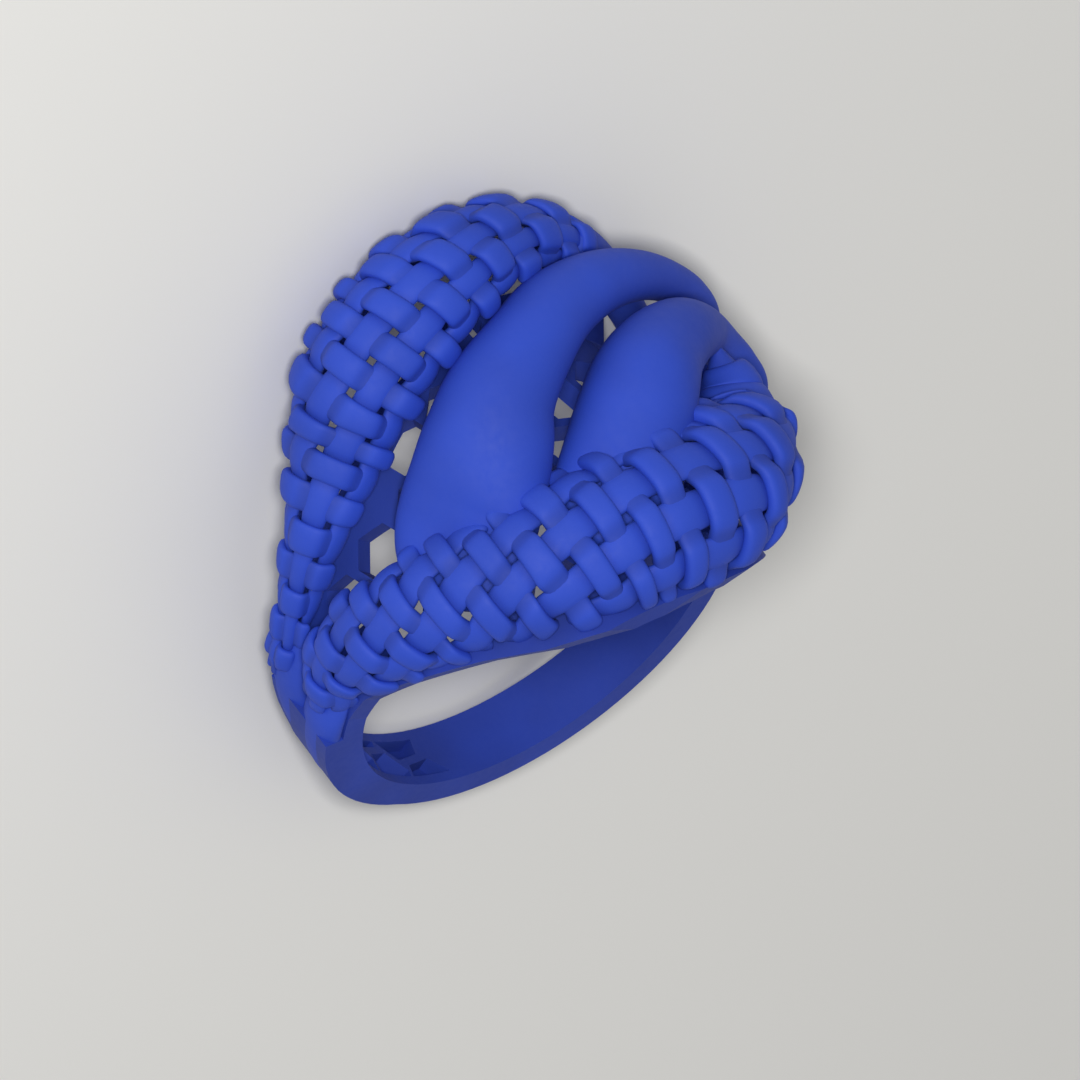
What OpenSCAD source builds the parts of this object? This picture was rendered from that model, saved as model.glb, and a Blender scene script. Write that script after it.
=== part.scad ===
// Knot ring: a flared shank with a pierced honeycomb gallery over the finger,
// two smooth tapering crescents and two basket woven bands laid over them.
// All sizes in millimetres. Each piece is drawn with the finger axis along Y and
// the ornament on top, then laid on its back side as the ring rests on a table.

/* [Finger hole and shank] */
// Radius of the finger hole
bore_r = 8.5; // [8:0.05:9.5]
// Thickness of the shank under the finger
shank_t = 1.2; // [1:0.05:1.6]
// Thickness of the shank at its sides
side_t = 1.05; // [0.9:0.05:1.6]
// Width of the shank under the finger
shank_w = 2.8; // [2.2:0.1:3.4]
// Reach of the front rail from the middle plane
front_reach = 7.0; // [6:0.1:8]
// Reach of the back rail from the middle plane
back_reach = 7.6; // [6.5:0.1:8.5]

/* [Honeycomb gallery] */
// Thickness of the gallery wall
gallery_t = 1.0; // [0.7:0.05:1.2]
// Side length of one honeycomb cell, middle of strut to middle of strut
cell_side = 1.5; // [1.2:0.05:2]
// Width of the struts between cells
strut_w = 0.42; // [0.3:0.02:0.7]
// Turn of the honeycomb on the wall
cell_turn = 20; // [0:1:59]
// Width of the solid rails along both edges
rail_w = 0.9; // [0.6:0.05:1.5]
// Depth of the blind cells in the left arm
pocket_d = 0.65; // [0.3:0.05:0.9]

// Place of the skirt's foot along the finger axis
skirt_y = 6.7; // [6:0.1:7]
// Height of the skirt along the finger axis
skirt_h = 1.7; // [1:0.1:1.9]
// Outer radius of the skirt's rim
skirt_r = 10.6; // [10:0.05:10.8]

/* [Weave] */
// Crosswise ribbons of the front band
front_wefts_n = 24; // [18:1:24]
// Crosswise ribbons of the back band
back_wefts_n = 30; // [20:1:30]
// Thickness of a ribbon in the middle of a band
ribbon_t = 0.48; // [0.3:0.02:0.5]
// Clear gap between crossing ribbons
ribbon_gap = 0.21; // [0.18:0.01:0.24]
// Share of its pitch that a ribbon fills
ribbon_fill = 0.79; // [0.6:0.01:0.82]

/* [Resting pose] */
// Turn about the left to right axis that lays the ring on its back side
lay_x = -66.3; // [-90:0.1:-40]
// Turn about the finger axis before that
lay_y = -0.7; // [-20:0.1:20]
// Lift that brings the lowest point onto the table
lay_z = 5.181; // [0:0.001:20]
// Shift to the right that centres the ring over the frame's origin
shift_x = -0.56; // [-5:0.01:5]
// Shift to the back that centres the ring over the frame's origin
shift_y = -4.49; // [-10:0.01:10]

/* [Hidden] */
eps = 0.01;
gallery_r = bore_r + gallery_t;
shank_r = bore_r + side_t;

// Section tables, one row for each section along a piece, left shoulder to right shoulder.
// Columns: angle round the finger axis from the right side, place along the finger axis,
// rise of the section's middle over the bore, half width, half height. The bands have three
// more: lean to the front, angle of lengthwise ribbon 0 round the section, front side
// positive, and the count of crosswise ribbons up to the row.
front_rows = [
  [189,  0.4, 1.0, 1.00, 0.80,  0, 165,  0.00],
  [182,  0.3, 1.0, 1.10, 0.90,  0, 158,  1.40],
  [175,  0.1, 1.0, 1.25, 1.10,  3, 145,  2.70],
  [166,  0.0, 1.1, 1.45, 1.40,  6, 123,  3.90],
  [153, -0.7, 1.3, 1.95, 1.90, 10, 101,  5.60],
  [134, -1.8, 1.4, 2.25, 2.20, 14,  59,  8.60],
  [113, -2.9, 1.4, 2.75, 2.70, 15,  12, 11.90],
  [ 98, -3.5, 1.5, 2.95, 2.80, 15, -13, 13.95],
  [ 85, -3.6, 1.7, 3.05, 2.90, 14, -21, 15.80],
  [ 70, -3.3, 2.0, 3.10, 2.90, 10, -14, 17.85],
  [ 58, -2.5, 2.2, 2.95, 3.00,  5,   6, 19.90],
  [ 48, -1.4, 2.4, 2.40, 2.90,  0,  22, 21.20],
  [ 43, -0.1, 2.6, 1.95, 2.75,  0,  34, 22.10],
  [ 41,  0.9, 2.8, 1.60, 2.20,  0,  44, 22.80],
  [ 40,  2.0, 3.2, 1.25, 1.40,  0,  52, 23.40],
  [ 41,  2.7, 3.7, 0.70, 0.75,  0,  58, 24.00],
  [ 42,  3.1, 4.0, 0.30, 0.35,  0,  62, 25.30]];
back_rows = [
  [186,  2.5, 1.4, 0.50, 0.50,  0,  60,  0.80],
  [181,  2.6, 1.4, 0.55, 0.55,  0,  50,  1.70],
  [173,  2.7, 1.4, 0.60, 0.60,  0,  35,  2.70],
  [164,  3.0, 1.6, 0.75, 0.75,  0,  25,  3.65],
  [153,  3.5, 2.0, 1.00, 1.00,  0,  17,  5.00],
  [141,  4.4, 2.6, 1.40, 1.40,  0,  18,  6.70],
  [129,  5.8, 3.1, 2.00, 2.00,  0,  27,  8.90],
  [119,  6.9, 4.0, 2.40, 2.40,  0,  34, 10.80],
  [107,  7.9, 4.7, 2.40, 2.40,  0,  40, 13.20],
  [ 96,  8.6, 5.0, 2.10, 2.10,  0,  41, 15.15],
  [ 85,  9.0, 4.9, 1.70, 1.70,  0,  34, 17.10],
  [ 75,  9.1, 4.5, 1.30, 1.30,  0,  30, 19.10],
  [ 65,  9.0, 4.0, 1.00, 1.00,  0,  30, 21.20],
  [ 56,  8.7, 3.5, 0.85, 0.85,  0,  30, 23.20],
  [ 46,  8.0, 2.9, 0.75, 0.75,  0,  30, 25.10],
  [ 34,  6.7, 2.3, 0.65, 0.65,  0,  30, 27.20],
  [ 20,  5.0, 1.7, 0.60, 0.60,  0,  30, 29.20],
  [  6,  3.4, 1.2, 0.50, 0.50,  0,  30, 31.00]];
outer_rows = [
  [125, -0.9, 1.6, 0.50, 0.30],
  [121, -0.5, 1.9, 1.50, 0.70],
  [116,  0.1, 2.5, 2.50, 1.40],
  [112,  0.8, 3.1, 2.80, 2.00],
  [106,  1.9, 3.7, 2.70, 2.30],
  [100,  3.1, 4.1, 2.35, 2.30],
  [ 91,  4.3, 4.4, 1.95, 2.00],
  [ 81,  5.5, 4.6, 1.70, 1.70],
  [ 70,  6.1, 4.9, 1.35, 1.35],
  [ 58,  6.3, 5.0, 1.05, 1.05],
  [ 48,  6.4, 5.0, 0.85, 0.90],
  [ 40,  6.3, 4.8, 0.75, 0.80],
  [ 34,  5.8, 4.4, 0.65, 0.70],
  [ 28,  5.2, 3.8, 0.55, 0.60],
  [ 20,  3.7, 2.9, 0.45, 0.50],
  [ 12,  2.6, 1.9, 0.35, 0.40],
  [  6,  2.1, 1.4, 0.20, 0.20]];
inner_rows = [
  [ 90, -2.9, 1.6, 0.50, 0.30],
  [ 87, -2.2, 1.9, 1.40, 0.70],
  [ 81, -1.2, 2.5, 2.30, 1.40],
  [ 78, -0.4, 3.0, 2.50, 2.00],
  [ 75,  0.7, 3.5, 2.50, 2.30],
  [ 70,  1.9, 4.0, 2.30, 2.30],
  [ 64,  2.7, 4.4, 2.00, 2.00],
  [ 57,  3.4, 4.8, 1.60, 1.60],
  [ 50,  4.1, 5.0, 1.25, 1.25],
  [ 43,  4.3, 4.9, 0.95, 1.00],
  [ 36,  4.0, 4.8, 0.80, 0.85],
  [ 30,  3.4, 4.8, 0.70, 0.75],
  [ 26,  2.5, 4.6, 0.65, 0.65],
  [ 23,  1.6, 3.8, 0.55, 0.55],
  [ 19,  1.0, 2.8, 0.45, 0.45],
  [ 13,  0.8, 1.7, 0.35, 0.35],
  [  7,  0.7, 1.4, 0.20, 0.20]];
// Pitch of the lengthwise ribbons round a section, in degrees, and the side turned from
// the middle up to which the weave wraps each band
front_step = 41;
back_step = 38;
front_wrap = [14, 90];
back_wrap = [-14, 104];

function unit(v) = v / norm(v);
// Smooth value of column k of a table at share s of its length
function cell(tab, i, k) = tab[max(0, min(len(tab) - 1, i))][k];
function spline(tab, s, k) =
  let (x = max(0, min(0.99999, s)) * (len(tab) - 1), i = floor(x), u = x - i,
       a = cell(tab, i - 1, k), b = cell(tab, i, k), c = cell(tab, i + 1, k), d = cell(tab, i + 2, k))
  0.5 * (2*b + (c - a)*u + (2*a - 5*b + 4*c - d)*u*u + (3*b - a - 3*c + d)*u*u*u);
// Middle of the section, direction of the piece, outward and sideways directions
function spine(tab, s) = let (a = spline(tab, s, 0), r = bore_r + spline(tab, s, 2))
  [r*cos(a), spline(tab, s, 1), r*sin(a)];
function run(tab, s) = let (p = max(0, s - 0.01), q = min(1, s + 0.01)) unit(spine(tab, q) - spine(tab, p));
function up0(tab, s) = let (c = spine(tab, s), t = run(tab, s), r = unit([c[0], 0, c[2]])) unit(r - (r*t)*t);
function up(tab, s) = let (n = up0(tab, s), t = run(tab, s), l = len(tab[0]) > 5 ? spline(tab, s, 5) : 0)
  cos(l)*n + sin(l)*cross(t, n);
function side(tab, s) = cross(run(tab, s), up(tab, s));
// Point on a piece's skin at angle a round its section, lifted by off along the skin's normal
function skin(tab, s, a, off) =
  let (w = spline(tab, s, 3), h = spline(tab, s, 4), n = up(tab, s), f = side(tab, s))
  spine(tab, s) + w*sin(a)*f + h*cos(a)*n + off*unit(h*sin(a)*f + w*cos(a)*n);
function lift_dir(tab, s, a) =
  let (w = spline(tab, s, 3), h = spline(tab, s, 4), n = up(tab, s), f = side(tab, s))
  unit(h*sin(a)*f + w*cos(a)*n);
function across(tab, s, a) = unit(skin(tab, s, a + 1, 0) - skin(tab, s, a - 1, 0));
// Share of the length at which crosswise ribbon n lies, and the angle of lengthwise ribbon j
function place(tab, n) = let (m = len(tab) - 1) lookup(n, [for (i = [0:m]) [tab[i][7], i/m]]);
function column(tab, s, j, step) = spline(tab, s, 6) + step*j;
function from_axis(p) = norm([p[0], p[2]]);
// Sections of both crescents: middle, direction, side, up, half width, half height
sections = [for (tab = [outer_rows, inner_rows], i = [0:30]) let (s = i/30)
  [spine(tab, s), run(tab, s), side(tab, s), up(tab, s), spline(tab, s, 3), spline(tab, s, 4)]];
function inside(p, q, m) = let (d = p - q[0]) abs(d*q[1]) < 0.8 &&
  pow(d*q[2]/(q[4] + m), 2) + pow(d*q[3]/(q[5] + m), 2) < 1;
// The weave stops where it would dip into the gallery or run into a crescent
function wrapped(tab, s, a, wrap, half) = let (p = skin(tab, s, a, 0))
  abs(a - wrap[0]) < wrap[1] &&
  min([for (d = [-half, 0, half]) from_axis(skin(tab, s, a + d, -ribbon_t/2))]) > gallery_r + 0.32 &&
  max([0, for (q = sections) if (norm(p - q[0]) < 5 && inside(p, q, 0.7)) 1]) == 0;
// Step from one crosswise ribbon to the next along lengthwise line c, and the pitch of the
// lengthwise ribbons
function weft_step(tab, n, c, step) = (knot(tab, n + 0.4, c, step) - knot(tab, n - 0.4, c, step))/0.8;
// Room that a crosswise ribbon has there: twice the shorter way to the middle of its neighbours' gaps
function knot(tab, n, c, step) = let (s = place(tab, n)) skin(tab, s, column(tab, s, c, step), 0);
function room(tab, n, c, step) = 2*min(norm(knot(tab, n + 0.5, c, step) - knot(tab, n, c, step)),
  norm(knot(tab, n, c, step) - knot(tab, n - 0.5, c, step)));
function roomy(tab, n, c, step) = room(tab, n, c, step) > 0.6;
function warp_pitch(tab, s, a, step) = norm(skin(tab, s, a + step/2, 0) - skin(tab, s, a - step/2, 0));
// Ribbons thin out with the band and where the crosswise ones crowd in a bend
function thick(tab, n, c, step, wide) = ribbon_t*min(room(tab, n, c, step)*2.1/wide,
  max(0.5, min(1, spline(tab, place(tab, n), 3)/wide + 0.25)));
function lift(t) = (t + ribbon_gap)/2;

// Closed solid through rings of points of equal count
module loft(rings) {
  m = len(rings[0]);
  pts = [for (r = rings) for (p = r) p];
  polyhedron(pts, concat(
    [[for (k = [m - 1:-1:0]) k]],
    [for (i = [0:len(rings) - 2]) for (k = [0:m - 1]) let (l = (k + 1) % m)
      each [[i*m + k, i*m + l, (i + 1)*m + l], [i*m + k, (i + 1)*m + l, (i + 1)*m + k]]],
    [[for (k = [0:m - 1]) (len(rings) - 1)*m + k]]));
}

// Smooth tapering crescent with an oval section
module crescent(tab, rings, sides) {
  loft([for (i = [0:rings]) let (s = i/rings)
    [for (k = [0:sides - 1]) skin(tab, s, -360*k/sides, 0)]]);
}

// Ribbon section: half width w along e, half thickness h along n, flat inner face
function ribbon(c, e, n, w, h) = [for (q = [[1, -0.1], [0.6, 1], [-0.6, 1], [-1, -0.1]])
  c + w*q[0]*e + h*q[1]*n];

// Ribbon through rings, in one solid for each stretch of free places that has three or more
module stretches(free, rings) {
  m = len(free);
  for (i = [0:m - 1]) if (free[i] && (i == 0 || !free[i - 1])) {
    last = min([for (k = [i:m]) if (k == m || !free[k]) k]) - 1;
    if (last > i + 1) loft([for (k = [i:last]) rings[k]]);
  }
}

// Lengthwise ribbon j of a band, over and under the crosswise ones in turn
module warp(tab, j, step, wrap, wefts, wide) {
  // share of the length, angle, side, over or under, and count on both sides of each crossing
  at = [for (n = [1:wefts], d = [-0.25, 0.25]) let (s = place(tab, n + d))
    [s, column(tab, s, j, step), (n + j) % 2 == 0 ? 1 : -1, n + d]];
  stretches([for (q = at) wrapped(tab, q[0], q[1], wrap, step*0.42) && roomy(tab, q[3], j, step)],
    [for (q = at) let (t = thick(tab, q[3], j, step, wide))
      ribbon(skin(tab, q[0], q[1], q[2]*lift(t)), across(tab, q[0], q[1]),
        lift_dir(tab, q[0], q[1]), warp_pitch(tab, q[0], q[1], step)*ribbon_fill/2, t/2)]);
}

// Crosswise ribbon n of a band
module weft(tab, n, step, wrap, wide) {
  s = place(tab, n);
  // line, angle and side, over or under, on both sides of each crossing
  at = [for (j = [6:-1:-8], d = [0.25, -0.25])
    [j + d, column(tab, s, j + d, step), (n + j) % 2 == 0 ? -1 : 1]];
  stretches([for (q = at) wrapped(tab, s, q[1], wrap, 0) && roomy(tab, n, q[0], step)],
    [for (q = at) let (e = weft_step(tab, n, q[0], step), p = min(room(tab, n, q[0], step), 2.2),
      t = thick(tab, n, q[0], step, wide))
      ribbon(skin(tab, s, q[1], q[2]*lift(t)), unit(e), lift_dir(tab, s, q[1]),
        min(p*ribbon_fill, p - 0.28)/2, t/2)]);
}

// Cylinder about the finger axis
module tube_y(r, h, up = 0) { translate([0, 0, up]) rotate([90, 0, 0]) cylinder(r = r, h = h, center = true, $fn = 120); }

// Reach of the rails, a row for each angle up from the shoulder, columns: angle, then the
// share of the full reach beyond the shank's side for the front and for the back
left_rails = [[-50, 0, 0], [-36, 0, 0], [-27, 0, 0.11], [-20, 0, 0.17], [-10, 0, 0.24], [-3, 0, 0.28],
  [8, 0.05, 0.33], [23, 0.25, 0.42], [46, 0.59, 0.63], [63, 0.85, 0.86], [72, 0.93, 0.94], [82, 1, 1], [110, 1, 1]];
right_rails = [[-50, 0, 0], [-16, 0, 0], [-7, 0.01, 0.03], [15, 0.30, 0.32], [45, 0.69, 0.70],
  [62, 0.87, 0.88], [77, 0.96, 0.97], [88, 1, 1], [110, 1, 1]];
reach = [front_reach - shank_w/2, back_reach - shank_w/2];
// One half of the rails' outline, pushed outwards along a line at 25 degrees
module half_rails(rows, cut) {
  intersection() {
    rotate([0, -25, 0]) rotate([90, 0, 90]) translate([0, 0, -20]) linear_extrude(40) polygon(concat(
      [for (r = rows) if (r[0] > -60) [-(shank_w/2 + reach[0]*r[1] - cut), bore_r*sin(r[0] - 25)]],
      [[-(front_reach - cut), 20], [back_reach - cut, 20]],
      [for (i = [len(rows) - 1:-1:0]) let (r = rows[i]) if (r[0] > -60)
        [shank_w/2 + reach[1]*r[2] - cut, bore_r*sin(r[0] - 25)]],
      [[shank_w/2 - cut, -20], [-(shank_w/2 - cut), -20]]));
    translate([-eps, -20, -20]) cube([20, 40, 40]);
  }
}
module rails(cut) {
  half_rails(right_rails, cut);
  mirror([1, 0, 0]) half_rails(left_rails, cut);
}

// Openings of the honeycomb: through cells over the finger, blind ones in the left arm
mid_r = bore_r + 0.85;
function cell_at(i, j) = let (d = sqrt(3)*cell_side)
  [21.96 + d*(i*cos(cell_turn + 30) + j*cos(cell_turn + 90)),
   4.3 + d*(i*sin(cell_turn + 30) + j*sin(cell_turn + 90))];
function share(a, k) = cos(a) < 0 ? lookup(180 - a, [for (r = left_rails) [r[0], r[k]]])
  : lookup(a, [for (r = right_rails) [r[0], r[k]]]);
function reach_f(a) = shank_w/2 + reach[0]*share(a, 1);
function reach_b(a) = shank_w/2 + reach[1]*share(a, 2);
module hexes(a0, a1, room, depth) {
  for (i = [-14:12], j = [-12:10]) {
    c = cell_at(i, j);
    a = c[0]/mid_r*180/PI;
    if (a > a0 && a < a1 && c[1] > -reach_f(a) + rail_w + room && c[1] < reach_b(a) - rail_w - room)
      translate([0, c[1], 0]) rotate([0, 90 - a, 0]) translate([0, 0, bore_r - 1]) rotate(90 + cell_turn)
        cylinder(r = cell_side - strut_w/sqrt(3), h = depth + 1, $fn = 6);
  }
}

// Pierced skirt that rises from the back rail towards the back band
module skirt() {
  difference() {
    intersection() {
      translate([0, skirt_y, 0]) rotate([-90, 0, 0]) difference() {
        cylinder(r1 = gallery_r - 0.1, r2 = skirt_r, h = skirt_h, $fn = 120);
        translate([0, 0, -eps]) cylinder(r1 = gallery_r - 0.9, r2 = skirt_r - 0.8, h = skirt_h + 2*eps, $fn = 120);
      }
      // keep the stretch between 40 and 102 degrees
      rotate([90, 0, 0]) linear_extrude(60, center = true)
        polygon([[0, 0], [30*cos(40), 30*sin(40)], [30, 40], [30*cos(102), 40]]);
    }
    for (a = [46:8.5:100]) rotate([0, 90 - a, 0]) translate([0, skirt_y + skirt_h*0.62, gallery_r - 2])
      cylinder(r = 0.42, h = 6, $fn = 6);
  }
}

module shank() {
  color("royalblue") difference() {
    union() {
      intersection() {
        tube_y(shank_r, 60, side_t - shank_t);
        rails(0);
        translate([0, 0, -31.8]) cube(60, center = true);
      }
      intersection() {
        tube_y(gallery_r, 60);
        rails(0);
      }
      // left arms, thicker where the bands start
      intersection() {
        translate([-0.87, 0, 0.3]) tube_y(shank_r, 60);
        rails(0);
        translate([-30, 0, -31.4]) cube(60, center = true);
      }
      skirt();
    }
    tube_y(bore_r, 60);
    intersection() {
      hexes(24, 158, 0.2, 4);
      rails(rail_w);
    }
    // blind cells
    intersection() {
      hexes(196, 252, -2, pocket_d);
      rails(0.45);
    }
  }
}

module outer_crescent() { color("royalblue") crescent(outer_rows, 22, 14); }
module inner_crescent() { color("royalblue") crescent(inner_rows, 20, 14); }
// Smooth pointed end of the front band
module front_tip() {
  s0 = place(front_rows, front_wefts_n + 0.72);
  color("royalblue") loft([for (i = [0:4]) let (s = s0 + (1 - s0)*i/4)
    [for (k = [0:11]) skin(front_rows, s, -30*k, 0.1 - 0.06*i)]]);
}
module front_warp(i) {
  color("royalblue") warp(front_rows, i - 5, front_step, front_wrap, front_wefts_n, 3.6);
}
module back_warp(i) {
  color("royalblue") warp(back_rows, i - 5, back_step, back_wrap, back_wefts_n, 2.4);
}
module front_wefts() {
  color("royalblue") for (n = [1:front_wefts_n]) weft(front_rows, n, front_step, front_wrap, 3.6);
}
module back_wefts() {
  color("royalblue") for (n = [1:back_wefts_n]) weft(back_rows, n, back_step, back_wrap, 2.4);
}

module lay() { translate([shift_x, shift_y, lay_z]) rotate([lay_x, 0, 0]) rotate([0, lay_y, 0]) children(); }

lay() shank();
lay() outer_crescent();
lay() inner_crescent();
lay() front_warp(1);  // front_warp_1
lay() front_warp(2);  // front_warp_2
lay() front_warp(3);  // front_warp_3
lay() front_warp(4);  // front_warp_4
lay() front_warp(5);  // front_warp_5
lay() front_warp(6);  // front_warp_6
lay() front_warp(7);  // front_warp_7
lay() front_wefts();
lay() front_tip();
lay() back_warp(1);  // back_warp_1
lay() back_warp(2);  // back_warp_2
lay() back_warp(3);  // back_warp_3
lay() back_warp(4);  // back_warp_4
lay() back_warp(5);  // back_warp_5
lay() back_warp(6);  // back_warp_6
lay() back_wefts();
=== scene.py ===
# Knot ring in satin blue ceramic over cast silver, lying on its side on a pale table.
# All shapes are worked out in millimetres in the upright frame (finger axis along Y, ornament
# on top) and laid down with the same turns as the solids.
import math
import bmesh
import bpy
import numpy as np
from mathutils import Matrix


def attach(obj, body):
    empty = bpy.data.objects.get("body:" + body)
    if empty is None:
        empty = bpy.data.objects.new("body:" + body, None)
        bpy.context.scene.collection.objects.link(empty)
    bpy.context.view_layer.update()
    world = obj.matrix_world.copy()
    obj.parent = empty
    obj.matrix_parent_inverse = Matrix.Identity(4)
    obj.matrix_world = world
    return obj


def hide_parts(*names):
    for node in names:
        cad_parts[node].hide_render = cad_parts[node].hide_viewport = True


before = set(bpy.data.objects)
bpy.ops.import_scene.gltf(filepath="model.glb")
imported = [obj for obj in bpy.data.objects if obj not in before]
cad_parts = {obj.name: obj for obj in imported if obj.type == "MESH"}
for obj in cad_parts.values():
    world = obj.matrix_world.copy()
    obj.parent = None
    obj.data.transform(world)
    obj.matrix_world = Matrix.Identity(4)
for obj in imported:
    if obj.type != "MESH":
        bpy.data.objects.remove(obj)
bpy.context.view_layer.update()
print("frame loaded:", len(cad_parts), "solids")

mm = 0.001      # metres
ring = {
    "boreRadius": 8.5,      # mm, finger hole
    "galleryRadius": 9.5,   # mm, outside of the gallery wall
    "layX": -66.3,          # degrees, about the left to right axis
    "layY": -0.7,           # degrees, about the finger axis, first
    "shift": (-0.56, -4.49, 5.181),   # mm
}


def turnAbout(axis, degrees):
    # rotation matrix about X or Y
    c, s = math.cos(math.radians(degrees)), math.sin(math.radians(degrees))
    if axis == "X":
        return np.array([[1, 0, 0], [0, c, -s], [0, s, c]])
    return np.array([[c, 0, s], [0, 1, 0], [-s, 0, c]])


layTurn = turnAbout("X", ring["layX"]) @ turnAbout("Y", ring["layY"])


def laid(points):
    # upright millimetres to metres on the table: turn, then shift
    return (points @ layTurn.T + np.array(ring["shift"])) * mm


# Sections along each piece, left shoulder to right, in degrees and mm. The angle is taken round
# the finger axis and the place along it, the rise is over the bore, the turn is that of lengthwise
# ribbon 0 round the section, and the count is of crosswise ribbons up to the row. Curls and roots
# have the first five columns.
columns = ("angle", "place", "rise", "halfWidth", "halfHeight", "lean", "turn", "count")
frontBand = {
    "rows": np.array([
        [189, 0.4, 1.0, 1.00, 0.80, 0, 165, 0.00], [182, 0.3, 1.0, 1.10, 0.90, 0, 158, 1.40],
        [175, 0.1, 1.0, 1.25, 1.10, 3, 145, 2.70], [166, 0.0, 1.1, 1.45, 1.40, 6, 123, 3.90],
        [153, -0.7, 1.3, 1.95, 1.90, 10, 101, 5.60], [134, -1.8, 1.4, 2.25, 2.20, 14, 59, 8.60],
        [113, -2.9, 1.4, 2.75, 2.70, 15, 12, 11.90], [98, -3.5, 1.5, 2.95, 2.80, 15, -13, 13.95],
        [85, -3.6, 1.7, 3.05, 2.90, 14, -21, 15.80], [70, -3.3, 2.0, 3.10, 2.90, 10, -14, 17.85],
        [58, -2.5, 2.2, 2.95, 3.00, 5, 6, 19.90], [48, -1.4, 2.4, 2.40, 2.90, 0, 22, 21.20],
        [43, -0.1, 2.6, 1.95, 2.75, 0, 34, 22.10], [42, 0.7, 3.4, 1.47, 1.85, 0, 44, 23.30],
        [42, 1.6, 4.05, 0.98, 1.05, 0, 52, 24.60], [43.5, 2.45, 4.45, 0.48, 0.52, 0, 58, 25.60],
        [45, 3.1, 4.85, 0.10, 0.10, 0, 62, 26.80]]),
    "step": 41,             # degrees between lengthwise ribbons
    "firstCrosswise": 3,
    "crosswise": 25,
    "plainFrom": 23.5,      # from here crosswise ribbons are plain rings and lengthwise ones end
    # crosswise ribbon, how far it runs on, in ribbons, from one lengthwise ribbon to the next, and
    # the lengthwise ribbon where it stands at its own place
    "slant": np.array([
        [3, 0.0, -2], [5, 0.18, -2], [7, 0.38, -2], [8.5, 0.35, -1.1], [10.5, 0.4, -0.4],
        [13, 0.42, -0.1], [14.5, 0.18, 0], [16, 0.0, 0]]),
    # crosswise ribbon, how many times the step the lengthwise ribbons stand apart there, and the
    # lengthwise ribbon that stays where it is when the others spread
    "spread": np.array([
        [0, 1.25, -2.5], [4, 1.2, -2.5], [6, 1.1, -2.3], [7, 1.15, -2], [8.2, 1.28, -1.6],
        [9.2, 1.32, -1.1], [10.2, 1.15, -0.6], [11.5, 1.0, 0]]),
    "lines": (-6, 3),       # first and last lengthwise ribbon
    "wrap": (-80, 106),     # degrees of the section that the weave covers
    "wide": 3.6,            # half width to which a ribbon's size is compared
    "fillLong": 0.78,       # share of its pitch that a lengthwise ribbon fills
    "fillCross": 0.74,
}
backBand = {
    "rows": np.array([
        [186, 2.5, 1.4, 0.50, 0.50, 0, 60, 0.80], [181, 2.6, 1.4, 0.55, 0.55, 0, 50, 1.70],
        [173, 2.7, 1.4, 0.60, 0.60, 0, 35, 2.70], [164, 3.0, 1.6, 0.75, 0.75, 0, 25, 3.65],
        [153, 3.5, 2.0, 1.00, 1.00, 0, 17, 5.00], [141, 4.4, 2.6, 1.40, 1.40, 0, 18, 6.70],
        [129, 5.8, 3.1, 2.00, 2.00, 0, 27, 8.90], [119, 6.9, 4.0, 2.40, 2.40, 0, 34, 10.80],
        [107, 7.9, 4.7, 2.40, 2.40, 0, 40, 13.20], [96, 8.6, 5.0, 2.10, 2.10, 0, 41, 15.15],
        [85, 9.0, 4.9, 1.70, 1.70, 0, 34, 17.10], [75, 9.1, 4.5, 1.30, 1.30, 0, 30, 18.40],
        [65, 9.0, 4.0, 1.00, 1.00, 0, 30, 19.90], [56, 8.7, 3.5, 0.85, 0.85, 0, 30, 21.70],
        [46, 8.0, 2.9, 0.75, 0.75, 0, 30, 24.00], [34, 6.7, 2.3, 0.65, 0.65, 0, 30, 26.60],
        [20, 4.5, 1.7, 0.60, 0.60, 0, 30, 29.00], [6, 2.5, 1.2, 0.50, 0.48, 0, 30, 31.00],
        [-6, 1.4, 0.95, 0.35, 0.28, 0, 30, 32.50]]),
    "step": 38,
    "firstCrosswise": 2,
    "crosswise": 20,
    "plainFrom": 20.6,
    "slant": np.array([
        [6, 0.0, 0], [8, -0.2, 0], [10, -0.2, 0], [12.5, 0.0, 0], [15, 0.25, 0]]),
    "spread": np.array([
        [0, 1.6, 0], [7.7, 1.55, 0], [9, 1.3, 0], [10.5, 1.0, 0], [17, 1.0, 0], [18.5, 1.35, 0],
        [20, 1.6, 0]]),
    "lines": (-5, 3),
    "wrap": (-120, 92),
    "wide": 2.4,
    "fillLong": 0.80,
    "fillCross": 0.82,
}
outerCurl = {
    "rows": np.array([
        [134, -2.3, 1.9, 1.60, 0.70], [128, -1.5, 2.0, 2.50, 0.90], [122, -0.6, 2.2, 2.95, 1.10],
        [117, 0.1, 2.6, 3.00, 1.50], [112, 0.8, 3.1, 2.90, 2.00], [106, 1.9, 3.7, 2.70, 2.30],
        [100, 3.1, 4.1, 2.35, 2.30], [91, 4.3, 4.4, 1.95, 2.00], [81, 5.5, 4.6, 1.70, 1.70],
        [70, 6.1, 4.9, 1.35, 1.35], [58, 6.3, 5.0, 1.04, 1.05], [48, 6.2, 5.0, 0.82, 0.88],
        [40, 6.0, 4.95, 0.75, 0.80], [34, 5.6, 4.8, 0.68, 0.70], [28, 5.0, 4.1, 0.55, 0.60],
        [20, 3.6, 2.7, 0.48, 0.50], [12, 2.5, 1.6, 0.45, 0.45], [5, 1.6, 1.12, 0.42, 0.40],
        [-4, 0.9, 0.95, 0.30, 0.25]]),
}
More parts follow.
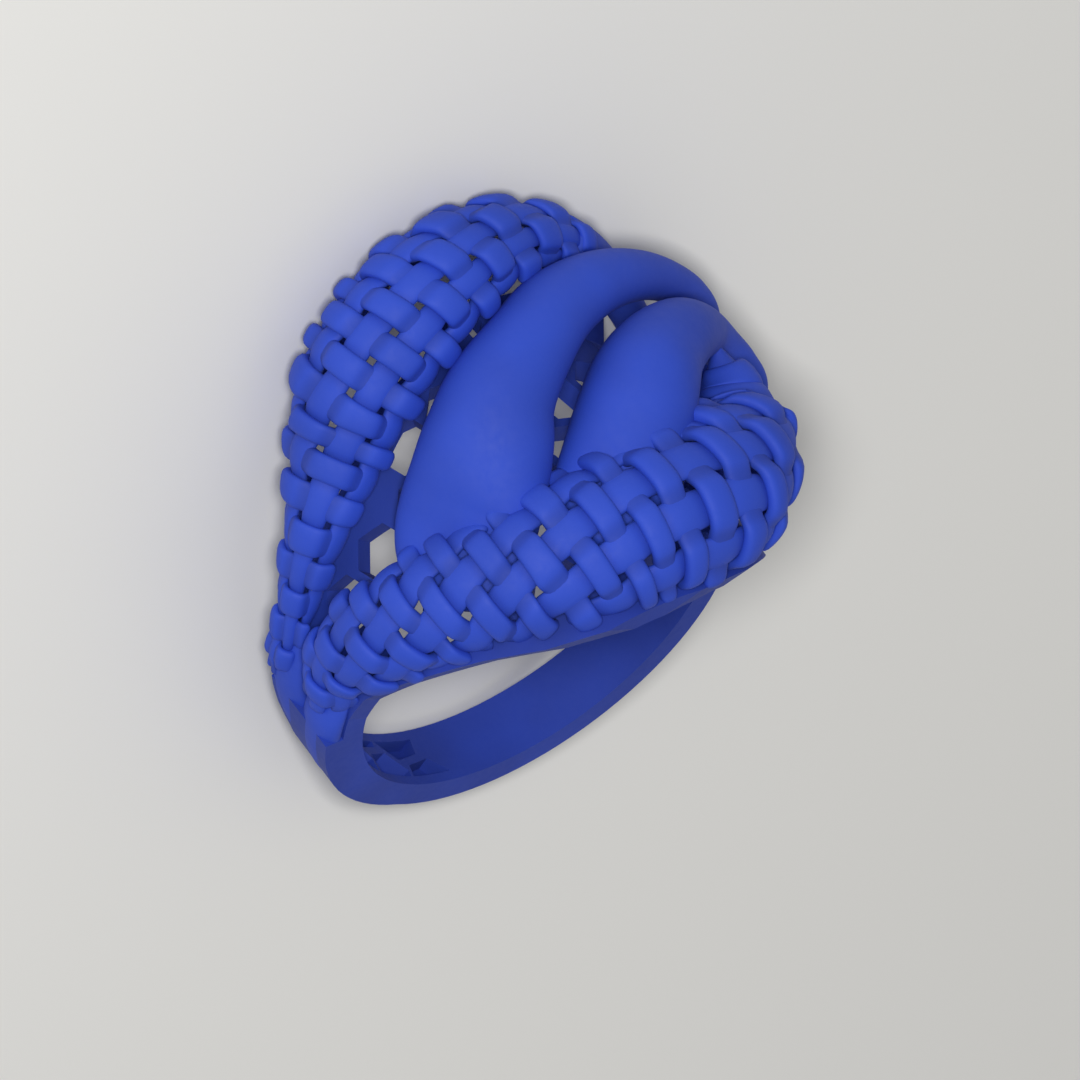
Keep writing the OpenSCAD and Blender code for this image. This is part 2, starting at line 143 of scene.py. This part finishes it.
innerCurl = {
    "rows": np.array([
        [98, -4.0, 1.9, 1.40, 0.70], [93, -3.1, 2.1, 2.20, 1.00], [88, -2.2, 2.4, 2.55, 1.35],
        [83, -1.3, 2.7, 2.60, 1.70], [78.5, -0.35, 3.05, 2.55, 2.00], [74, 0.65, 3.5, 2.45, 2.25],
        [69.5, 1.65, 3.95, 2.28, 2.28], [64, 2.55, 4.3, 1.97, 1.97], [57, 3.25, 4.6, 1.63, 1.63],
        [50, 3.7, 4.65, 1.33, 1.30], [43, 4.0, 4.6, 1.07, 1.08], [36, 3.85, 4.6, 0.93, 0.93],
        [30, 3.3, 4.75, 0.77, 0.80], [26, 2.6, 4.75, 0.68, 0.65], [23, 1.6, 3.8, 0.55, 0.55],
        [19, 1.0, 2.6, 0.50, 0.50], [12, 0.6, 1.5, 0.45, 0.45], [4, 0.1, 1.12, 0.42, 0.40],
        [-5, -0.2, 0.95, 0.30, 0.25]]),
}
# Smooth roots that carry the bands into the left arm, on from where the weave stops.
frontRoot = {
    "rows": np.array([
        [174, -0.2, 1.0, 0.90, 0.30], [179, -0.25, 1.15, 1.05, 0.45], [185, -0.3, 1.3, 1.1, 0.58],
        [193, -0.3, 1.28, 1.05, 0.58], [202, -0.26, 1.22, 1.0, 0.54], [212, -0.2, 1.14, 0.92, 0.47],
        [222, -0.14, 1.04, 0.82, 0.38], [233, -0.1, 0.9, 0.75, 0.24], [244, 0.0, 0.78, 0.6, 0.1]]),
}
backRoot = {
    "rows": np.array([
        [172, 2.45, 1.20, 0.60, 0.40], [178, 2.30, 1.28, 0.95, 0.55], [186, 1.90, 1.32, 1.15, 0.60],
        [194, 1.50, 1.27, 1.18, 0.56], [203, 1.05, 1.18, 1.12, 0.50], [213, 0.75, 1.06, 1.00, 0.40],
        [223, 0.60, 0.92, 0.85, 0.26], [233, 0.50, 0.78, 0.70, 0.12]]),
}
# Crosswise ribbons are thick rounded bars that arch over flatter lengthwise ones. Depths in mm.
crossRibbon = {"thick": 0.62, "rise": 0.20, "bias": 0.09, "squareness": 2.8, "steepness": 2.2}
longRibbon = {"thick": 0.52, "rise": 0.10, "bias": -0.08, "squareness": 2.3, "steepness": 1.0}
weaveDetail = {
    "perCrossing": 12,      # rings from one crossing to the next
    "corners": 18,          # of a ribbon's section
    "leastSize": 0.70,      # the smallest ribbon against the largest
    "sizeLead": 0.25,       # added to the half width's share of the band's own wide one
    "runOn": 1.2,           # ribbons that the lengthwise ones reach beyond the first crosswise one
    "intoGallery": 0.15,    # mm that the middle of a ribbon may lie inside the gallery wall
    "insideCurl": 0.35,     # ellipse value at which a ribbon ends, well inside a curl
    "leastRings": 4,        # shorter stretches are left out
    "endRings": 2.2,        # rings over which an end is rounded
    "plainReach": 150,      # degrees of the section each way that a plain ring covers
    "plainHalf": 0.55,      # half width of a plain ring, in ribbons
}
# Painted light on a ribbon: a middle value, more over a crossing and on its outer side, with
# painted shade where it dives under and on its inner side.
weavePaintedLight = {"middle": 0.5, "crossing": 0.5, "outerSide": 0.25}
# Curls take painted light on the top of each section and painted shade on the underside: a middle
# value and a swing.
curlDetail = {"rings": 150, "sides": 56, "endRings": 4, "paintedLight": 0.55, "paintedLightSwing": 0.35}
pointDetail = {
    "rings": 40,
    "sides": 28,
    "overlap": 1,           # ribbons of the weave that the smooth point starts under
    "lift": 0.20,           # mm over the band's skin at its start
    "fall": 0.22,           # mm that this falls by to the tip
    # painted light, even over the whole point
    "paintedLight": 0.6,
}


def unit(v):
    return v / np.maximum(np.linalg.norm(v, axis=-1, keepdims=True), 1e-12)


def splineColumn(rows, share, name):
    # Catmull-Rom value: half of (2b + (c-a)u + (2a-5b+4c-d)u^2 + (3b-a-3c+d)u^3)
    k = columns.index(name)
    lastShare = 0.99999     # keeps the end inside the last interval
    x = np.clip(share, 0, lastShare) * (len(rows) - 1)
    i = np.floor(x).astype(int)
    u = x - i
    a, b, c, d = (rows[np.clip(i + q, 0, len(rows) - 1), k] for q in (-1, 0, 1, 2))
    return 0.5 * (2*b + (c - a)*u + (2*a - 5*b + 4*c - d)*u*u + (3*b - a - 3*c + d)*u**3)


def spineAt(rows, share):
    # middle of the section: radius (bore + rise) at its angle, and its place along the axis
    a = np.radians(splineColumn(rows, share, "angle"))
    r = ring["boreRadius"] + splineColumn(rows, share, "rise")
    return np.stack([r*np.cos(a), splineColumn(rows, share, "place"), r*np.sin(a)], -1)


def halfSizes(rows, share):
    return splineColumn(rows, share, "halfWidth"), splineColumn(rows, share, "halfHeight")


def sectionFrame(rows, share):
    # direction of the piece, outward direction square to it (leaned where the table says so), side
    step = 0.01             # of the length, each way, for the direction
    ahead, behind = np.minimum(1, share + step), np.maximum(0, share - step)
    run = unit(spineAt(rows, ahead) - spineAt(rows, behind))
    middle = spineAt(rows, share)
    out = unit(middle * np.array([1, 0, 1]))
    up = unit(out - (out*run).sum(-1, keepdims=True)*run)
    if rows.shape[1] > columns.index("lean"):
        lean = np.radians(splineColumn(rows, share, "lean"))[..., None]
        up = np.cos(lean)*up + np.sin(lean)*np.cross(run, up)
    return middle, run, up, np.cross(run, up)


def skinPoint(rows, share, angle, lift):
    # ellipse of the section at the angle, lifted along its normal
    middle, run, up, side = sectionFrame(rows, share)
    w, h = (half[..., None] for half in halfSizes(rows, share))
    a = np.radians(angle)[..., None]
    normal = unit(h*np.sin(a)*side + w*np.cos(a)*up)
    return middle + w*np.sin(a)*side + h*np.cos(a)*up + np.asarray(lift)[..., None]*normal


def shareOf(band, count, line=0.0):
    # share of the length at which that many crosswise ribbons have passed, along a slanting one
    rows = band["rows"]
    reach = 3               # lengthwise ribbons each way over which it slants
    at, slope, own = band["slant"].T
    slant = np.interp(count, at, slope)*np.clip(line - np.interp(count, at, own), -reach, reach)
    passed = rows[:, columns.index("count")]
    return np.interp(count + slant, passed, np.arange(len(rows)) / (len(rows) - 1))


def latticeAngle(band, count, line):
    # turn of ribbon 0 plus a step for each line, drawn wider apart where the table says so
    at, times, own = band["spread"].T
    spread = np.interp(count, at, times)
    line0 = np.interp(count, at, own)
    turn = splineColumn(band["rows"], shareOf(band, count, line), "turn")
    return turn + band["step"]*(line0 + (line - line0)*spread)


def latticePoint(band, count, line, lift):
    share = shareOf(band, count, line)
    return skinPoint(band["rows"], share, latticeAngle(band, count, line), lift)


def ribbonSize(band, count, line):
    # 1 in the middle of the band and smaller towards its ends
    w = splineColumn(band["rows"], shareOf(band, count, line), "halfWidth")
    return np.clip(w/band["wide"] + weaveDetail["sizeLead"], weaveDetail["leastSize"], 1)


def sectionOutline(ribbon):
    # superellipse |x|^p + |y|^p = 1, evenly spread corners
    t = 2*np.pi*(np.arange(weaveDetail["corners"]) + 0.5)/weaveDetail["corners"]
    p = 2/ribbon["squareness"]
    return (np.sign(np.cos(t))*np.abs(np.cos(t))**p, np.sign(np.sin(t))*np.abs(np.sin(t))**p)


def wave(ribbon, phase):
    # 1 at even crossings and -1 at odd ones: tanh(k cos(pi phase)) / tanh(k), with flatter tops
    # and steeper dives the larger k is
    k = ribbon["steepness"]
    return np.tanh(k*np.cos(np.pi*phase))/np.tanh(k)


def curlSections():
    # middles, directions and half sizes along both curls, for finding what lies inside them
    sections = 81
    share = np.linspace(0, 1, sections)
    parts = [[*sectionFrame(curl["rows"], share), *halfSizes(curl["rows"], share)]
             for curl in (outerCurl, innerCurl)]
    return [np.concatenate(p) for p in zip(*parts)]


curlParts = curlSections()


def curlValue(points):
    # least ellipse value of a point against the nearby curl sections: under 1 is inside a curl
    beside = 0.45           # mm along the curl that a section speaks for
    outside = 99.0          # value where no section is near
    middle, run, up, side, w, h = curlParts
    d = points[:, None, :] - middle[None]
    value = ((d*side).sum(-1)/w)**2 + ((d*up).sum(-1)/h)**2
    near = np.abs((d*run).sum(-1)) < beside
    return np.where(near, value, outside).min(1)


def stretches(free, least):
    # first and last index of each run of true values that has enough rings
    edge = np.flatnonzero(np.diff(np.concatenate([[0], free.astype(int), [0]])))
    return [(a, b) for a, b in zip(edge[::2], edge[1::2]) if b - a >= least]


def roundedEnds(rings, over):
    # section scale: quarter circle over the first and last rings
    start = 0.35            # rings, so that the first one isn't a point
    k = np.arange(rings)
    x = np.clip((np.minimum(k, rings - 1 - k) + start)/over, 0, 1)
    return np.sqrt(1 - (1 - x)**2)


def closedTube(grid, paintedLight):
    # rings of corners, a pole in the middle of each end, and the painted light at each corner
    return grid, np.stack([grid[0].mean(0), grid[-1].mean(0)]), paintedLight


def bandRibbons(band, crosswise):
    # every ribbon of one direction: rings along the lattice line, section across it
    ribbon = crossRibbon if crosswise else longRibbon
    outX, outY = sectionOutline(ribbon)
    per = weaveDetail["perCrossing"]
    firstLine, lastLine = band["lines"]
    if crosswise:
        numbers = range(band["firstCrosswise"], band["crosswise"] + 1)
        along = np.arange(firstLine*per, lastLine*per + 1)/per
        wovenHalf, sign = band["fillCross"]/2, 1
    else:
        numbers = range(firstLine, lastLine + 1)
        first = band["firstCrosswise"] - weaveDetail["runOn"]
        along = np.arange(int(first*per), int(band["plainFrom"]*per) + 1)/per
        wovenHalf, sign = band["fillLong"]/2, -1
    parts = []
    for number in numbers:
        fixed = np.full(len(along), float(number))
        count, line = (fixed, along) if crosswise else (along, fixed)
        angle = latticeAngle(band, count, line)
        if number > band["plainFrom"]:
            free = np.abs(angle) < weaveDetail["plainReach"]
            over, half = np.ones(len(along)), weaveDetail["plainHalf"]
        else:
            free = (angle > band["wrap"][0]) & (angle < band["wrap"][1])
            over, half = wave(ribbon, count + line)*sign, wovenHalf
        middle = latticePoint(band, count, line, np.zeros(len(along)))
        fromAxis = np.hypot(middle[:, 0], middle[:, 2])
        free &= fromAxis > ring["galleryRadius"] - weaveDetail["intoGallery"]
        free &= curlValue(middle) > weaveDetail["insideCurl"]
        size = ribbonSize(band, count, line)
        thick = ribbon["thick"]*size
        lift = (over*ribbon["rise"] + ribbon["bias"])*size
        for a, b in stretches(free, weaveDetail["leastRings"]):
            ends = roundedEnds(b - a, weaveDetail["endRings"])[:, None]
            swing = half*outX[None]*ends
            counts = count[a:b, None] + (swing if crosswise else 0*swing)
            lines = line[a:b, None] + (0*swing if crosswise else swing)
            height = lift[a:b, None] + thick[a:b, None]/2*outY[None]*ends
            # painted light over a crossing and on the outer side, painted shade under a crossing
            # and on the inner side
            paintedLight = np.clip(weavePaintedLight["middle"] + weavePaintedLight["crossing"]*over[a:b, None]
                            + weavePaintedLight["outerSide"]*outY[None], 0, 1)
            parts.append(closedTube(latticePoint(band, counts, lines, height), paintedLight))
    return parts


def skinGrid(share, sides):
    # shares of the length by angles round the section, turned so that quads look outward
    return np.broadcast_arrays(share[:, None], -360*np.arange(sides)[None]/sides)


def curlSurface(curl):
    # skin of the curl on a grid of share and angle, ends drawn in round
    rings = curlDetail["rings"]
    share, angle = skinGrid(np.linspace(0, 1, rings), curlDetail["sides"])
    grid = skinPoint(curl["rows"], share, angle, np.zeros(share.shape))
    middle = grid.mean(1, keepdims=True)
    grid = middle + (grid - middle)*roundedEnds(rings, curlDetail["endRings"])[:, None, None]
    # painted light, strongest on the top of the section and falling to painted shade underneath
    paintedLight = curlDetail["paintedLight"] + curlDetail["paintedLightSwing"]*np.cos(np.radians(angle))
    return [closedTube(grid, paintedLight)]


def pointSurface(band):
    # smooth pointed end of a band: its own skin, lifted, closing towards the tip
    first = shareOf(band, band["plainFrom"] - pointDetail["overlap"])
    share, angle = skinGrid(np.linspace(first, 1, pointDetail["rings"]), pointDetail["sides"])
    lift = pointDetail["lift"] - pointDetail["fall"]*(share - share[0, 0])/(1 - share[0, 0])
    grid = skinPoint(band["rows"], share, angle, lift)
    return [closedTube(grid, np.full(share.shape, pointDetail["paintedLight"]))]


def tubeFaces(rings, corners):
    # quads between neighbouring rings, and a fan from a pole vertex at each end
    i, k = np.meshgrid(np.arange(rings - 1), np.arange(corners), indexing="ij")
    here, there = i*corners, (i + 1)*corners
    nextK = (k + 1) % corners
    quads = np.stack([here + k, here + nextK, there + nextK, there + k], -1)
    k = np.arange(corners)
    nextK = (k + 1) % corners
    first, last, lastRing = rings*corners, rings*corners + 1, (rings - 1)*corners
    start = np.stack([np.full(corners, first), nextK, k], -1)
    end = np.stack([np.full(corners, last), lastRing + k, lastRing + nextK], -1)
    return quads.reshape(-1, 4), np.concatenate([start, end])


def joinTubes(parts):
    # one vertex and face list from many closed tubes
    points, quads, fans, paintedLights, start = [], [], [], [], 0
    for grid, poles, paintedLight in parts:
        rings, corners = grid.shape[:2]
        q, f = tubeFaces(rings, corners)
        points += [grid.reshape(-1, 3), poles]
        paintedLights += [paintedLight.reshape(-1), paintedLight[[0, -1]].mean(1)]
        quads.append(q + start)
        fans.append(f + start)
        start += rings*corners + len(poles)
    return [np.concatenate(p) for p in (points, quads, fans, paintedLights)]


# Materials

def linear(hexColour):
    # sRGB hex to linear light
    c = np.array([int(hexColour[i:i + 2], 16) for i in (1, 3, 5)])/255
    return tuple(np.where(c <= 0.04045, c/12.92, ((c + 0.055)/1.055)**2.4)) + (1.0,)


def addNode(tree, kind, settings=None, links=None):
    # adds a node, sets its properties or sockets, and links sockets to it
    node = tree.nodes.new(kind)
    for key, value in (settings or {}).items():
        if isinstance(key, str) and hasattr(node, key):
            setattr(node, key, value)
        else:
            node.inputs[key].default_value = value
    for key, source in (links or {}).items():
        tree.links.new(source, node.inputs[key])
    return node


blueCoat = {
    "paintedLight": "#2649C4",     # coat colour at full painted light, on proud tops
    "paintedShade": "#182D80",    # coat colour at full painted shade, in the hollows of the weave
    "paintedLightShare": 0.55,     # part of the way between them that the painted light makes
    "driftShare": (0.25, 0.6),  # part that the coat's slow drift makes, least and most
    "mottleMm": 5.0,        # length of that drift
    "ior": 1.5,             # glassy ceramic
    "roughness": 0.72,
    "glossSwing": (-0.04, 0.06),    # added to the roughness by the grain, least and most
    "grainMm": 0.35,        # casting grain under the coat, drawn coarser than the real 0.1 mm
    "grainDeepMm": 0.02,
    "noiseSpan": (0.3, 0.7),    # noise values that the least and most stand for
}


def addNoise(tree, place, sizeMm, detail, roughness):
    # noise with features of about that size
    settings = {"Scale": 1/(sizeMm*mm), "Detail": detail, "Roughness": roughness}
    return addNode(tree, "ShaderNodeTexNoise", settings, {"Vector": place.outputs["Object"]})


def addSpan(tree, noise, least, most):
    # noise brought to values from least to most
    low, high = blueCoat["noiseSpan"]
    settings = {"From Min": low, "From Max": high, "To Min": least, "To Max": most}
    node = addNode(tree, "ShaderNodeMapRange", settings, {"Value": noise.outputs["Fac"]})
    return node.outputs["Result"]


def satinCeramicCoat(name, usePaintedLight, grainStrength):
    # Ceramic coat sprayed on cast silver and cured: a dielectric skin, even satin gloss, a slow
    # random tone, painted shade in the hollows and painted light on proud parts where asked, faint
    # casting grain showing through.
    material = bpy.data.materials.new(name)
    material.use_nodes = True
    tree = material.node_tree
    tree.nodes.clear()
    place = addNode(tree, "ShaderNodeTexCoord")
    mottle = addNoise(tree, place, blueCoat["mottleMm"], detail=2.0, roughness=0.5)
    grain = addNoise(tree, place, blueCoat["grainMm"], detail=3.0, roughness=0.6)
    mixShare = addSpan(tree, mottle, *blueCoat["driftShare"])
    if usePaintedLight:
        # painted light of each point, added to the slow random drift of tone
        paintedLight = addNode(tree, "ShaderNodeAttribute", {"attribute_name": "paintedLight"})
        mixShare = addNode(tree, "ShaderNodeMath",
                        {"operation": "MULTIPLY_ADD", 1: blueCoat["paintedLightShare"]},
                        {0: paintedLight.outputs["Fac"], 2: mixShare}).outputs[0]
    # from the painted shade colour to the painted light colour: random tone drift plus, where
    # asked, painted light
    colour = addNode(tree, "ShaderNodeMix",
                     {"data_type": "RGBA", 6: linear(blueCoat["paintedShade"]),
                      7: linear(blueCoat["paintedLight"])}, {"Factor": mixShare})
    rough = addSpan(tree, grain, *(blueCoat["roughness"] + s for s in blueCoat["glossSwing"]))
    bump = addNode(tree, "ShaderNodeBump",
                   {"Strength": grainStrength, "Distance": blueCoat["grainDeepMm"]*mm},
                   {"Height": grain.outputs["Fac"]})
    shader = addNode(tree, "ShaderNodeBsdfPrincipled",
                     {"Metallic": 0.0, "IOR": blueCoat["ior"]},
                     {"Base Color": colour.outputs[2], "Roughness": rough,
                      "Normal": bump.outputs["Normal"]})
    addNode(tree, "ShaderNodeOutputMaterial", None, {"Surface": shader.outputs["BSDF"]})
    return material


print("materials")
weaveCoat = satinCeramicCoat("satin ceramic on woven silver", usePaintedLight=True, grainStrength=0.25)
curlCoat = satinCeramicCoat("satin ceramic on polished silver", usePaintedLight=True, grainStrength=0.12)
shankCoat = satinCeramicCoat("satin ceramic on the shank", usePaintedLight=False, grainStrength=0.15)


def addPiece(name, surface, material, nodes):
    points, quads, fans, paintedLight = joinTubes(surface)
    mesh = bpy.data.meshes.new(name)
    mesh.from_pydata(laid(points).tolist(), [], quads.tolist() + fans.tolist())
    # painted light of each point, for the coat's colour mix
    field = mesh.attributes.new("paintedLight", "FLOAT", "POINT")
    field.data.foreach_set("value", paintedLight.astype(np.float32))
    shell = bmesh.new()
    shell.from_mesh(mesh)
    bmesh.ops.recalc_face_normals(shell, faces=shell.faces)
    shell.to_mesh(mesh)
    shell.free()
    mesh.shade_smooth()
    mesh.materials.append(material)
    piece = bpy.data.objects.new(name, mesh)
    bpy.context.scene.collection.objects.link(piece)
    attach(piece, "root")
    if nodes:
        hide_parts(*nodes)
    print(name, len(mesh.polygons), "faces")


print("curls")
addPiece("outer_curl", curlSurface(outerCurl), curlCoat, ["outer_crescent"])
addPiece("inner_curl", curlSurface(innerCurl), curlCoat, ["inner_crescent"])
print("front band")
addPiece("front_lengthwise_ribbons", bandRibbons(frontBand, crosswise=False), weaveCoat,
         ["front_warp_%d" % i for i in range(1, 8)])
addPiece("front_crosswise_ribbons", bandRibbons(frontBand, crosswise=True), weaveCoat,
         ["front_wefts"])
addPiece("front_point", pointSurface(frontBand), curlCoat, ["front_tip"])
addPiece("front_root", curlSurface(frontRoot), curlCoat, None)
print("back band")
addPiece("back_lengthwise_ribbons", bandRibbons(backBand, crosswise=False), weaveCoat,
         ["back_warp_%d" % i for i in range(1, 7)])
addPiece("back_crosswise_ribbons", bandRibbons(backBand, crosswise=True), weaveCoat,
         ["back_wefts"])
addPiece("back_point", pointSurface(backBand), curlCoat, None)
addPiece("back_root", curlSurface(backRoot), curlCoat, None)

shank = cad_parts["shank"]
shank.data.materials.clear()
shank.data.materials.append(shankCoat)

print("table, light and camera")
# Places, sizes and distances in metres.
studio = {
    "table": "#E9E8E4",
    "tableRoughness": 0.85,
    "tableHalf": 0.6,
    "sky": "#FFFFFF",
    "skyStrength": 0.34,
    "keyWatts": 0.39,
    "keyMetres": 0.04,
    "keyDistance": 0.25,    # towards the camera
    "fillWatts": 0.03,
    "fillMetres": 0.2,
    "fillPlace": (0.05, -0.12, 0.14),   # from the middle of the finger hole
}
# Parallel view found from the picture: right and towards the camera in the upright frame.
view = {
    "right": (0.808, -0.548, 0.216),
    "back": (-0.484, -0.407, 0.775),
    "aim": (0.853, 3.084),      # mm right of and above the middle of the finger hole
    "width": 43.785,            # mm across the picture
    "distance": 0.2,            # m
    "clip": (0.001, 5),         # m
}

half = studio["tableHalf"]
tableMesh = bpy.data.meshes.new("table_top")
tableMesh.from_pydata([(-half, -half, 0), (half, -half, 0), (half, half, 0), (-half, half, 0)],
                      [], [(0, 1, 2, 3)])
table = bpy.data.objects.new("table_top", tableMesh)
bpy.context.scene.collection.objects.link(table)
tablePaint = bpy.data.materials.new("matt white table paint")
tablePaint.use_nodes = True
paint = tablePaint.node_tree.nodes["Principled BSDF"]
paint.inputs["Base Color"].default_value = linear(studio["table"])
paint.inputs["Roughness"].default_value = studio["tableRoughness"]
tableMesh.materials.append(tablePaint)

world = bpy.data.worlds.new("studio")
world.use_nodes = True
sky = world.node_tree.nodes["Background"]
sky.inputs["Color"].default_value = linear(studio["sky"])
sky.inputs["Strength"].default_value = studio["skyStrength"]
bpy.context.scene.world = world
bpy.context.scene.view_settings.view_transform = "Standard"

right, back = (unit(layTurn @ np.array(view[k])) for k in ("right", "back"))
up = unit(np.cross(back, right))
right = np.cross(up, back)
holeMiddle = np.array(ring["shift"])*mm
aim = holeMiddle + mm*(view["aim"][0]*right + view["aim"][1]*up)


def facing(place, target, upward):
    # matrix, column by column, whose -Z axis looks from place to target
    z = unit(np.asarray(place) - np.asarray(target))
    x = unit(np.cross(upward, z))
    y = np.cross(z, x)
    return np.column_stack([np.stack([x, y, z, place]), (0, 0, 0, 1)]).tolist()


def addLight(name, place, size, watts):
    lamp = bpy.data.lights.new(name, "AREA")
    lamp.shape = "SQUARE"
    lamp.size = size
    lamp.energy = watts
    lampHolder = bpy.data.objects.new(name, lamp)
    bpy.context.scene.collection.objects.link(lampHolder)
    # upward leans a little, so that it is never along the light
    upward = np.array([0.0, 0.0, 1.0]) + 0.01*right
    lampHolder.matrix_world = facing(place, holeMiddle, upward)


addLight("key", holeMiddle + studio["keyDistance"]*back, studio["keyMetres"], studio["keyWatts"])
addLight("fill", holeMiddle + np.array(studio["fillPlace"]), studio["fillMetres"],
         studio["fillWatts"])

camera = bpy.data.cameras.new("camera")
camera.type = "ORTHO"
camera.ortho_scale = view["width"]*mm
camera.clip_start, camera.clip_end = view["clip"]
eye = bpy.data.objects.new("camera", camera)
bpy.context.scene.collection.objects.link(eye)
eye.matrix_world = facing(aim + view["distance"]*back, aim, up)
bpy.context.scene.camera = eye

print("done")
